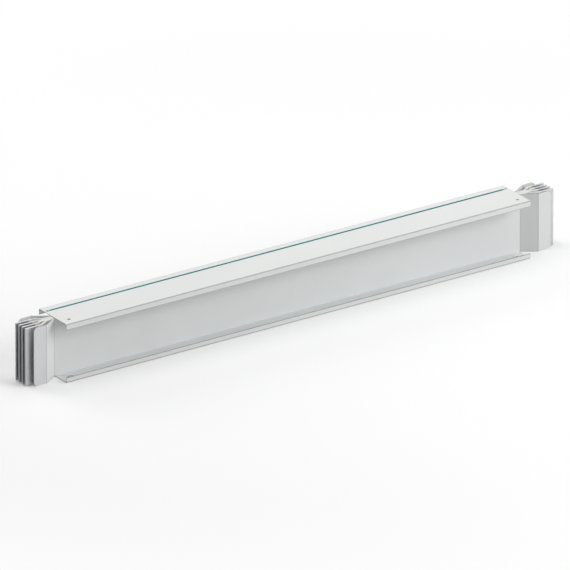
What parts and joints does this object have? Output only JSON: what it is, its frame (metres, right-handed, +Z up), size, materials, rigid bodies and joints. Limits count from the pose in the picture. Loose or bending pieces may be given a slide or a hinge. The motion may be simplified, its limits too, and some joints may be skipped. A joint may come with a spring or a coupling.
{
  "type": "busway section",
  "caption": "Straight length of sandwich busway: coated flat bars between side plates under channel covers, with both ends flared for joints.",
  "frame": {"origin": "middle of the bottom cover's underside", "axes": "+X along the length, -Y the front, +Z up from the bottom cover to the top cover"},
  "size_m": [1.82, 0.14, 0.18],
  "materials": {
    "cover_paint": "fine-textured pale powder coat on sheet steel",
    "side_plate_paint": "fine-textured pale powder coat on sheet steel",
    "bar_metal": "matt tin plating with faint rolling lines",
    "bar_insulation": "satin milky insulating film",
    "marking_line": "thin teal marking line"
  },
  "bodies": {
    "root": {"top_cover": "cover_paint", "bottom_cover": "cover_paint", "side_plate_front": "side_plate_paint", "side_plate_back": "side_plate_paint", "bar_1": "bar_metal", "insulation_1": "bar_insulation", "bar_2": "bar_metal", "insulation_2": "bar_insulation", "bar_3": "bar_metal", "insulation_3": "bar_insulation", "bar_4": "bar_metal", "insulation_4": "bar_insulation"}
  },
  "joints": []
}
